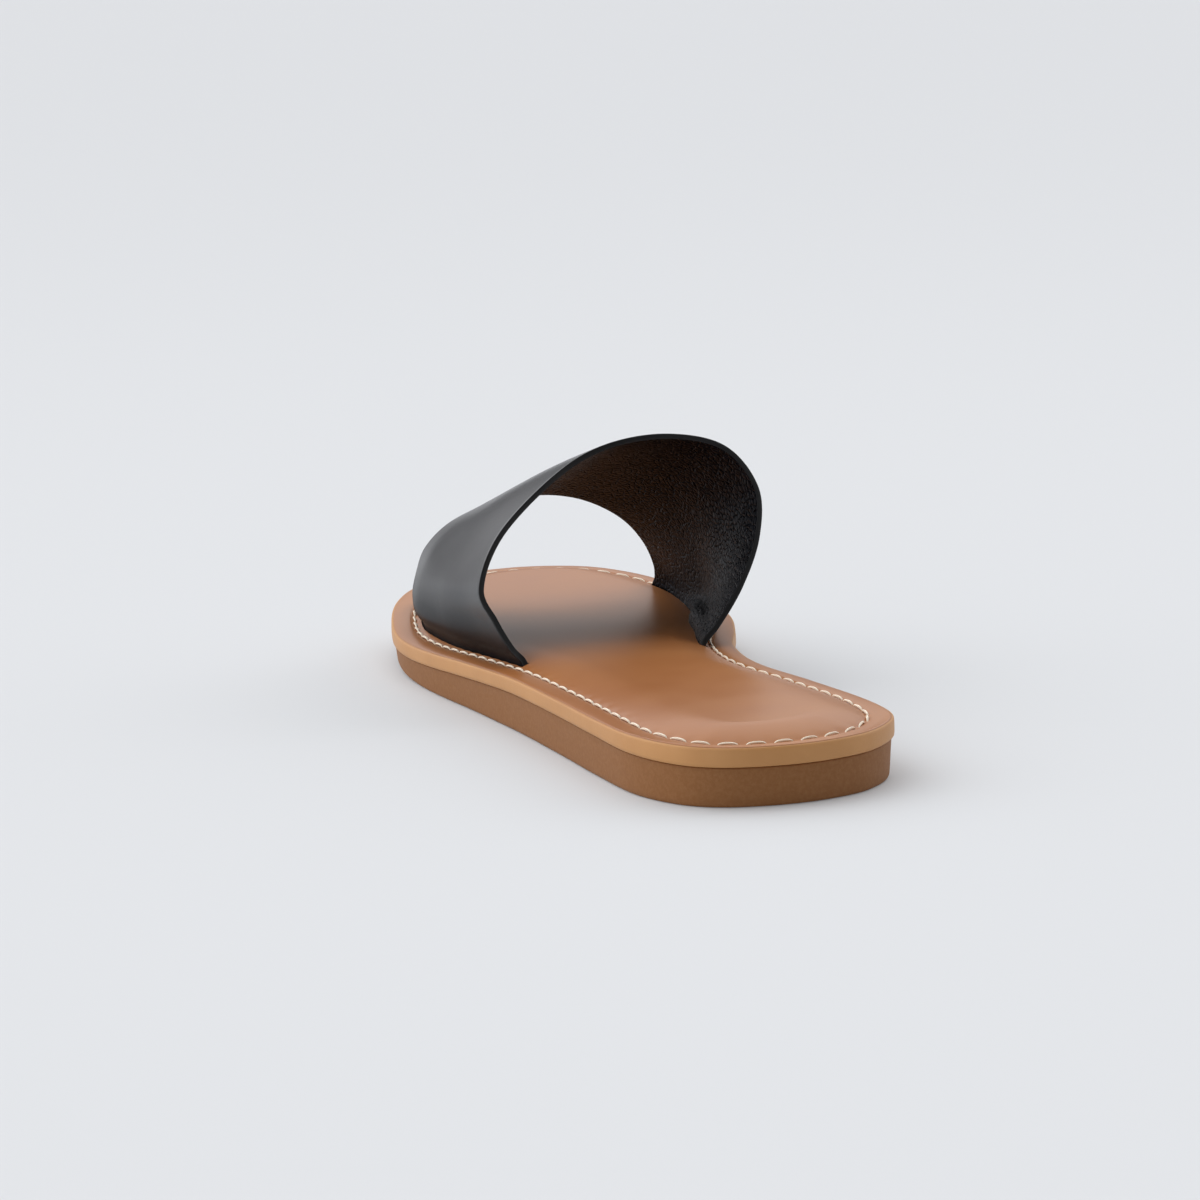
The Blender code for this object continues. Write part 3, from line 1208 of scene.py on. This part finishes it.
    def build(self) -> bpy.types.Object:
        """Model the strap: its face, a wall under it and rounded edges.

        Returns:
            The strap, with its three finishes.
        """
        even = np.linspace(0.0, 1.0, self.around + 1)
        shares = even - self.foot_density * np.sin(2 * math.pi * even) / (2 * math.pi)
        stations = np.linspace(0.0, 1.0, self.along + 1)
        strap = add_sheet("strap_upper", self.face(shares, stations, dented=True), wraps=False)
        self.point_outward(strap)
        for finish in (STRAP_FACE, STRAP_LINING, STRAP_RIM):
            strap.data.materials.append(finish.material())
        wall = strap.modifiers.new("wall", "SOLIDIFY")
        wall.thickness = self.wall
        wall.offset = -1.0
        wall.use_even_offset = True
        wall.material_offset = 1
        wall.material_offset_rim = 2
        edge = strap.modifiers.new("rounded_edge", "BEVEL")
        edge.width = self.edge_round
        edge.segments = self.edge_segments
        edge.limit_method = "ANGLE"
        edge.angle_limit = math.radians(self.edge_angle)
        apply_modifiers(strap)
        return strap

    def point_outward(self, strap: bpy.types.Object) -> None:
        """Turn the face's normals away from the foot.

        Args:
            strap: The strap's outer face.
        """
        crown = max(strap.data.polygons, key=lambda face: face.center.z)
        if crown.normal.z < 0:
            strap.data.flip_normals()

    def slot_cutter(self, side: Side) -> bpy.types.Object:
        """Model the sheet that cuts a clear slot for one foot of the strap.

        Args:
            side: Which foot it is for.

        Returns:
            The cutter.
        """
        deepest = self.slot_reach / walked(self.edge(front=False))[-1]
        reach = np.linspace(0.0, deepest, self.slot_around)
        shares = 1.0 - reach if side is Side.INNER else reach
        run = (self.front_inner_foot - self.rear_inner_foot) * self.plan.length
        past_end = self.slot_clearance / run
        stations = np.linspace(-past_end, 1.0 + past_end, self.slot_along)
        rows = self.face(shares, stations, dented=True)
        below = rows[:, :1] - np.array([0.0, 0.0, self.slot_depth])
        rows = np.concatenate([below, rows], axis=1)
        if side is Side.INNER:
            rows = rows[:, ::-1]
        cutter = add_sheet(f"{side.value}_slot", rows, wraps=False)
        outward = -1.0 if side is Side.OUTER else 1.0
        if cutter.data.polygons[0].normal.x * outward < 0:
            cutter.data.flip_normals()
        wall = cutter.modifiers.new("wall", "SOLIDIFY")
        wall.thickness = self.wall + 2 * self.slot_clearance
        wall.offset = 2 * self.slot_clearance / wall.thickness - 1.0
        wall.use_even_offset = True
        apply_modifiers(cutter)
        return cutter

    def cut_slots(self, insole: bpy.types.Object) -> None:
        """Cut the two slots for the strap's feet out of the insole.

        Args:
            insole: The insole's pad.
        """
        for side in Side:
            cutter = self.slot_cutter(side)
            cut = insole.modifiers.new("slot", "BOOLEAN")
            cut.operation = "DIFFERENCE"
            cut.solver = "EXACT"
            cut.object = cutter
            apply_modifiers(insole)
            bpy.data.objects.remove(cutter, do_unlink=True)
        triangulate(insole)

    def dress(self, piece: bpy.types.Object) -> None:
        """Shade the strap and give it its place."""
        shade(piece, self.crease_angle)
        place(piece, "strap_leather", "strap")


@dataclass
class Studio:
    """Pale paper floor, large soft lights and the camera. Lengths are in metres."""

    floor_radius: float = 14.0
    floor_corners: int = 96
    camera_place: tuple[float, float, float] = (-0.28675, -1.05925, 0.20651)
    azimuth: float = 14.79
    pitch: float = 9.32
    roll: float = -1.35
    lens: float = 135.0
    sensor_width: float = 36.0
    sky_colour: int = 0xFAFAFC
    horizon_strength: float = 0.05
    front_strength: float = 1.40
    left_strength: float = 0.90
    right_strength: float = 0.90
    behind_strength: float = 0.04
    above_reach: tuple[float, float] = (0.05, 0.42)
    ahead_reach: tuple[float, float] = (-0.3, 0.3)
    right_reach: tuple[float, float] = (0.5, 0.95)
    left_reach: tuple[float, float] = (-0.50, 0.05)
    top_size: float = 1.3
    top_height: float = 1.5
    top_power: float = 2.5

    def floor(self) -> None:
        """Lay the paper floor."""
        bpy.ops.object.select_all(action="DESELECT")
        bpy.ops.mesh.primitive_circle_add(
            vertices=self.floor_corners, radius=self.floor_radius, fill_type="NGON"
        )
        floor = bpy.context.object
        floor.name = "floor"
        floor.data.materials.append(PAPER.material())

    def light(self) -> None:
        """Light the room as a white tent: bright above the toe and at both sides, dark behind."""
        world = bpy.data.worlds.new("studio_tent")
        bpy.context.scene.world = world
        world.use_nodes = True
        tree = world.node_tree
        backdrop = tree.nodes["Background"]
        backdrop.inputs["Color"].default_value = linear_colour(self.sky_colour)
        towards = add_node(tree, "ShaderNodeTexCoord").outputs["Generated"]
        reach = add_node(tree, "ShaderNodeSeparateXYZ", {}, {"Vector": towards}).outputs
        heights = (self.horizon_strength, self.front_strength)
        above = self.ramp(tree, reach["Z"], self.above_reach, heights)
        ahead = self.ramp(tree, reach["Y"], self.ahead_reach, (self.behind_strength, 1.0))
        right = self.ramp(tree, reach["X"], self.right_reach, (0.0, self.right_strength))
        left = self.ramp(tree, reach["X"], self.left_reach, (self.left_strength, 0.0))
        sides = add_node(tree, "ShaderNodeMath", {"operation": "ADD"}, {0: left, 1: right})
        strength = add_node(
            tree,
            "ShaderNodeMath",
            {"operation": "MULTIPLY_ADD"},
            {0: above, 1: ahead, 2: sides.outputs["Value"]},
        )
        tree.links.new(strength.outputs["Value"], backdrop.inputs["Strength"])
        data = bpy.data.lights.new("top_softbox", "AREA")
        data.shape = "SQUARE"
        data.size = self.top_size
        data.energy = self.top_power
        softbox = bpy.data.objects.new("top_softbox", data)
        softbox.location = (0.0, 0.0, self.top_height)
        bpy.context.collection.objects.link(softbox)

    def ramp(
        self,
        tree: bpy.types.NodeTree,
        value: bpy.types.NodeSocket,
        reach: tuple[float, float],
        strengths: tuple[float, float],
    ) -> bpy.types.NodeSocket:
        """Add a smooth ramp between two strengths.

        Args:
            tree: The world's node tree.
            value: The socket that the ramp reads.
            reach: The values where the ramp starts and ends.
            strengths: The strengths there.

        Returns:
            The socket that gives the strength.
        """
        settings = {
            "interpolation_type": "SMOOTHSTEP",
            "From Min": reach[0],
            "From Max": reach[1],
            "To Min": strengths[0],
            "To Max": strengths[1],
        }
        return add_node(tree, "ShaderNodeMapRange", settings, {"Value": value}).outputs["Result"]

    def camera(self) -> None:
        """Stand the camera where the portrait is taken from."""
        turn, dip, roll = (math.radians(a) for a in (self.azimuth, self.pitch, self.roll))
        right = Vector((math.cos(turn), -math.sin(turn), 0.0))
        up = Vector((math.sin(turn) * math.sin(dip), math.cos(turn) * math.sin(dip), math.cos(dip)))
        rolled_right = right * math.cos(roll) + up * math.sin(roll)
        rolled_up = up * math.cos(roll) - right * math.sin(roll)
        back = rolled_right.cross(rolled_up)
        pose = Matrix((rolled_right, rolled_up, back)).transposed().to_4x4()
        pose.translation = Vector(self.camera_place)
        data = bpy.data.cameras.new("portrait")
        data.sensor_width = self.sensor_width
        data.lens = self.lens
        camera = bpy.data.objects.new("portrait", data)
        camera.matrix_world = pose
        bpy.context.collection.objects.link(camera)
        bpy.context.scene.camera = camera
        bpy.context.scene.view_settings.view_transform = "Standard"


def main() -> None:
    """Build the sandal's pieces in order and set up the studio."""
    plan = SolePlan()

    outsole = SoleLayer(
        plan=plan,
        name="outsole_unit",
        slot="outsole_rubber",
        node="outsole",
        rings=OUTSOLE_RINGS,
        base=plan.underside,
        top=plan.midsole_base,
        finish=SOLE_RUBBER,
    )
    outsole.dress(outsole.build())

    midsole = SoleLayer(
        plan=plan,
        name="midsole_band",
        slot="midsole_edge",
        node="midsole",
        rings=MIDSOLE_RINGS,
        base=plan.midsole_base,
        finish=WRAPPED_EDGE,
        raised_from=2.7,
    )
    midsole.dress(midsole.build())

    insole = Insole(
        plan=plan,
        name="insole_pad",
        slot="insole_leather",
        node="insole",
        rings=INSOLE_RINGS,
        base=plan.bed,
        finish=FOOTBED,
        raised_from=0.0,
        cap_shares=(0.2, 0.4, 0.6, 0.8, 1.0),
    )
    insole.per_side = insole.steps_per_stitch * insole.stitches_per_side
    insole.even_inset = insole.stitch_inset * MM
    pad = insole.build()
    strap = Strap(plan)
    strap.cut_slots(pad)
    insole.dress(pad)

    strap.dress(strap.build())

    stitching = Stitching(insole)
    stitching.dress(stitching.build())

    studio = Studio()
    studio.floor()
    studio.light()
    studio.camera()


if __name__ == "__main__":
    main()
